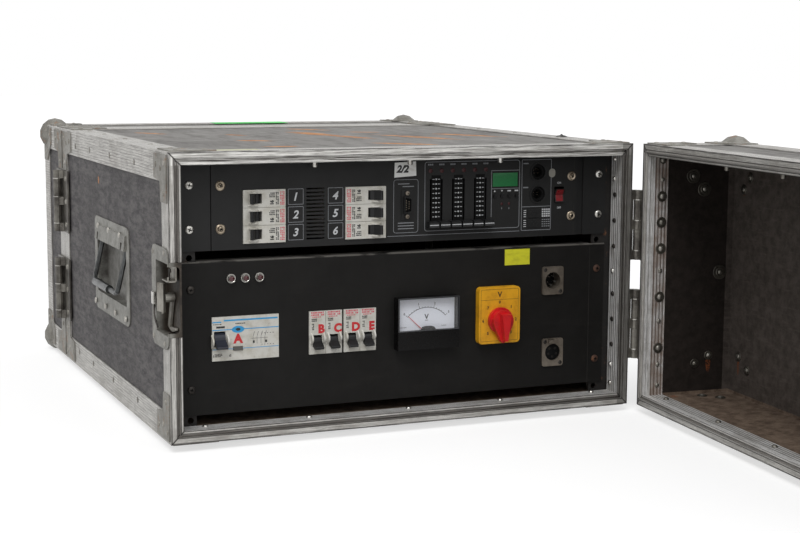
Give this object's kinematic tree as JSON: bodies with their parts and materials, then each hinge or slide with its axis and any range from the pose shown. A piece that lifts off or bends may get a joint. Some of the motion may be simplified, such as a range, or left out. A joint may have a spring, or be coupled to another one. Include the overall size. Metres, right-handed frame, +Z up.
{
  "type": "dimmer rack",
  "caption": "Rack case on ball corners with an open front lid, holding a dimmer unit with faders and breakers above a power distribution panel with a voltmeter.",
  "frame": {"origin": "centre of the case body's bottom board, on its outer face", "axes": "+Z up, -Y out of the front where the panels are, +X to the right seen from the front"},
  "size_m": [0.6659, 1.1683, 0.3064],
  "materials": {
    "laminate": "worn laminate on plywood",
    "extrusion": "scratched mill finish",
    "zinc_steel": "weathered zinc",
    "dark_steel": "dull dark zinc",
    "rail_steel": "dull dark paint",
    "dimmer_paint": "fine satin",
    "panel_paint": "matt",
    "breaker_white": "satin",
    "black_plastic": "satin",
    "navy_plastic": "satin",
    "grey_plastic": "satin",
    "red_plastic": "gloss",
    "yellow_plastic": "satin",
    "nickel": "satin nickel",
    "needle_red": "matt"
  },
  "bodies": {
    "case": {"case_boards": "laminate", "case_frame": "extrusion", "rack_rail_left": "rail_steel", "rack_rail_right": "rail_steel", "front_hinge_upper_case_leaf": "dark_steel", "front_hinge_lower_case_leaf": "dark_steel", "rear_hinge_upper_case_leaf": "dark_steel", "rear_hinge_lower_case_leaf": "dark_steel", "front_latch_dish": "zinc_steel", "rear_latch_dish": "zinc_steel", "left_handle_dish": "zinc_steel", "right_handle_dish": "zinc_steel", "dimmer_chassis": "dimmer_paint", "dimmer_front_plate": "dimmer_paint", "dimmer_breakers_left": "breaker_white", "dimmer_breakers_right": "breaker_white", "distribution_panel": "panel_paint", "distribution_breakers": "breaker_white", "voltmeter_case": "black_plastic", "selector_plate": "yellow_plastic", "control_inlet": "nickel", "control_outlet": "nickel"},
    "front_lid": {"front_lid_boards": "laminate", "front_lid_frame": "extrusion", "front_hinge_upper_lid_leaf": "dark_steel", "front_hinge_lower_lid_leaf": "dark_steel"},
    "rear_lid": {"rear_lid_boards": "laminate", "rear_lid_frame": "extrusion", "rear_hinge_upper_lid_leaf": "dark_steel", "rear_hinge_lower_lid_leaf": "dark_steel"},
    "front_latch": {"front_latch_wing": "zinc_steel"},
    "rear_latch": {"rear_latch_wing": "zinc_steel"},
    "left_bail": {"left_handle_bail": "dark_steel"},
    "right_bail": {"right_handle_bail": "dark_steel"},
    "dimmer_toggle_1": {"dimmer_toggle_1": "black_plastic"},
    "dimmer_toggle_2": {"dimmer_toggle_2": "black_plastic"},
    "dimmer_toggle_3": {"dimmer_toggle_3": "black_plastic"},
    "dimmer_toggle_4": {"dimmer_toggle_4": "black_plastic"},
    "dimmer_toggle_5": {"dimmer_toggle_5": "black_plastic"},
    "dimmer_toggle_6": {"dimmer_toggle_6": "black_plastic"},
    "fader_1": {"fader_1": "black_plastic"},
    "fader_2": {"fader_2": "black_plastic"},
    "fader_3": {"fader_3": "black_plastic"},
    "fader_4": {"fader_4": "black_plastic"},
    "fader_5": {"fader_5": "black_plastic"},
    "fader_6": {"fader_6": "black_plastic"},
    "power_rocker": {"power_rocker": "red_plastic"},
    "menu_button_1": {"menu_button_1": "black_plastic"},
    "menu_button_2": {"menu_button_2": "black_plastic"},
    "menu_button_3": {"menu_button_3": "black_plastic"},
    "menu_button_4": {"menu_button_4": "black_plastic"},
    "rcd_toggle": {"rcd_toggle": "navy_plastic"},
    "rcd_test_button": {"rcd_test_button": "grey_plastic"},
    "breaker_toggle_1": {"breaker_toggle_1": "black_plastic"},
    "breaker_toggle_2": {"breaker_toggle_2": "black_plastic"},
    "breaker_toggle_3": {"breaker_toggle_3": "black_plastic"},
    "breaker_toggle_4": {"breaker_toggle_4": "black_plastic"},
    "voltmeter_needle": {"voltmeter_needle": "needle_red"},
    "selector_knob": {"selector_knob": "red_plastic"},
    "outlet_tab": {"outlet_tab": "nickel"}
  },
  "joints": [
    {"name": "front_lid_hinge", "type": "hinge", "parent": "case", "child": "front_lid", "pos_m": [0.26825, -0.249, 0.1432], "axis": [0, 0, 1], "range_deg": [-85, 95]},
    {"name": "rear_lid_hinge", "type": "hinge", "parent": "case", "child": "rear_lid", "pos_m": [-0.26825, 0.249, 0.1432], "axis": [0, 0, 1], "range_deg": [0, 180]},
    {"name": "front_latch_turn", "type": "hinge", "parent": "case", "child": "front_latch", "pos_m": [-0.26025, -0.227, 0.1432], "axis": [-1, 0, 0], "range_deg": [0, 75]},
    {"name": "rear_latch_turn", "type": "hinge", "parent": "case", "child": "rear_latch", "pos_m": [0.26025, 0.227, 0.1432], "axis": [1, 0, 0], "range_deg": [0, 75]},
    {"name": "left_bail_swing", "type": "hinge", "parent": "case", "child": "left_bail", "pos_m": [-0.25525, -0.0045, 0.1762], "axis": [0, 1, 0], "range_deg": [0, 77]},
    {"name": "right_bail_swing", "type": "hinge", "parent": "case", "child": "right_bail", "pos_m": [0.25525, 0.0045, 0.1762], "axis": [0, -1, 0], "range_deg": [0, 77]},
    {"name": "dimmer_toggle_1_throw", "type": "hinge", "parent": "case", "child": "dimmer_toggle_1", "pos_m": [-0.1634, -0.2205, 0.238], "axis": [0, 0, 1], "range_deg": [0, 60]},
    {"name": "dimmer_toggle_2_throw", "type": "hinge", "parent": "case", "child": "dimmer_toggle_2", "pos_m": [-0.1634, -0.2205, 0.22], "axis": [0, 0, 1], "range_deg": [0, 60]},
    {"name": "dimmer_toggle_3_throw", "type": "hinge", "parent": "case", "child": "dimmer_toggle_3", "pos_m": [-0.1634, -0.2205, 0.202], "axis": [0, 0, 1], "range_deg": [0, 60]},
    {"name": "dimmer_toggle_4_throw", "type": "hinge", "parent": "case", "child": "dimmer_toggle_4", "pos_m": [-0.0357, -0.2205, 0.238], "axis": [0, 0, -1], "range_deg": [0, 60]},
    {"name": "dimmer_toggle_5_throw", "type": "hinge", "parent": "case", "child": "dimmer_toggle_5", "pos_m": [-0.0357, -0.2205, 0.22], "axis": [0, 0, -1], "range_deg": [0, 60]},
    {"name": "dimmer_toggle_6_throw", "type": "hinge", "parent": "case", "child": "dimmer_toggle_6", "pos_m": [-0.0357, -0.2205, 0.202], "axis": [0, 0, -1], "range_deg": [0, 60]},
    {"name": "fader_1_travel", "type": "slide", "parent": "case", "child": "fader_1", "axis": [0, 0, 1], "range_m": [0, 0.045]},
    {"name": "fader_2_travel", "type": "slide", "parent": "case", "child": "fader_2", "axis": [0, 0, 1], "range_m": [0, 0.045]},
    {"name": "fader_3_travel", "type": "slide", "parent": "case", "child": "fader_3", "axis": [0, 0, 1], "range_m": [0, 0.045]},
    {"name": "fader_4_travel", "type": "slide", "parent": "case", "child": "fader_4", "axis": [0, 0, 1], "range_m": [0, 0.045]},
    {"name": "fader_5_travel", "type": "slide", "parent": "case", "child": "fader_5", "axis": [0, 0, 1], "range_m": [0, 0.045]},
    {"name": "fader_6_travel", "type": "slide", "parent": "case", "child": "fader_6", "axis": [0, 0, 1], "range_m": [0, 0.045]},
    {"name": "power_rocker_throw", "type": "hinge", "parent": "case", "child": "power_rocker", "pos_m": [0.183, -0.218, 0.2325], "axis": [-1, 0, 0], "range_deg": [0, 16]},
    {"name": "menu_button_1_press", "type": "slide", "parent": "case", "child": "menu_button_1", "axis": [0, 1, 0], "range_m": [0, 0.0008], "stiffness_N_per_m": 500},
    {"name": "menu_button_2_press", "type": "slide", "parent": "case", "child": "menu_button_2", "axis": [0, 1, 0], "range_m": [0, 0.0008], "stiffness_N_per_m": 500},
    {"name": "menu_button_3_press", "type": "slide", "parent": "case", "child": "menu_button_3", "axis": [0, 1, 0], "range_m": [0, 0.0008], "stiffness_N_per_m": 500},
    {"name": "menu_button_4_press", "type": "slide", "parent": "case", "child": "menu_button_4", "axis": [0, 1, 0], "range_m": [0, 0.0008], "stiffness_N_per_m": 500},
    {"name": "rcd_toggle_throw", "type": "hinge", "parent": "case", "child": "rcd_toggle", "pos_m": [-0.2025, -0.2205, 0.0975], "axis": [-1, 0, 0], "range_deg": [0, 56]},
    {"name": "rcd_test_button_press", "type": "slide", "parent": "case", "child": "rcd_test_button", "axis": [0, 1, 0], "range_m": [0, 0.001], "stiffness_N_per_m": 1000},
    {"name": "breaker_toggle_1_throw", "type": "hinge", "parent": "case", "child": "breaker_toggle_1", "pos_m": [-0.0979, -0.2205, 0.0887], "axis": [-1, 0, 0], "range_deg": [0, 60]},
    {"name": "breaker_toggle_2_throw", "type": "hinge", "parent": "case", "child": "breaker_toggle_2", "pos_m": [-0.0799, -0.2205, 0.0887], "axis": [-1, 0, 0], "range_deg": [0, 60]},
    {"name": "breaker_toggle_3_throw", "type": "hinge", "parent": "case", "child": "breaker_toggle_3", "pos_m": [-0.0598, -0.2205, 0.0887], "axis": [-1, 0, 0], "range_deg": [0, 60]},
    {"name": "breaker_toggle_4_throw", "type": "hinge", "parent": "case", "child": "breaker_toggle_4", "pos_m": [-0.0418, -0.2205, 0.0887], "axis": [-1, 0, 0], "range_deg": [0, 60]},
    {"name": "voltmeter_needle_swing", "type": "hinge", "parent": "case", "child": "voltmeter_needle", "pos_m": [0.0235, -0.2295, 0.0895], "axis": [0, 1, 0], "range_deg": [0, 94], "stiffness_Nm_per_rad": 0.00001, "springref_deg": -17.19},
    {"name": "selector_knob_turn", "type": "hinge", "parent": "case", "child": "selector_knob", "pos_m": [0.1084, -0.2329, 0.0993], "axis": [0, 1, 0], "range_deg": [-180, 135]},
    {"name": "outlet_tab_press", "type": "slide", "parent": "case", "child": "outlet_tab", "axis": [0, 1, 0], "range_m": [0, 0.0012], "stiffness_N_per_m": 500}
  ]
}
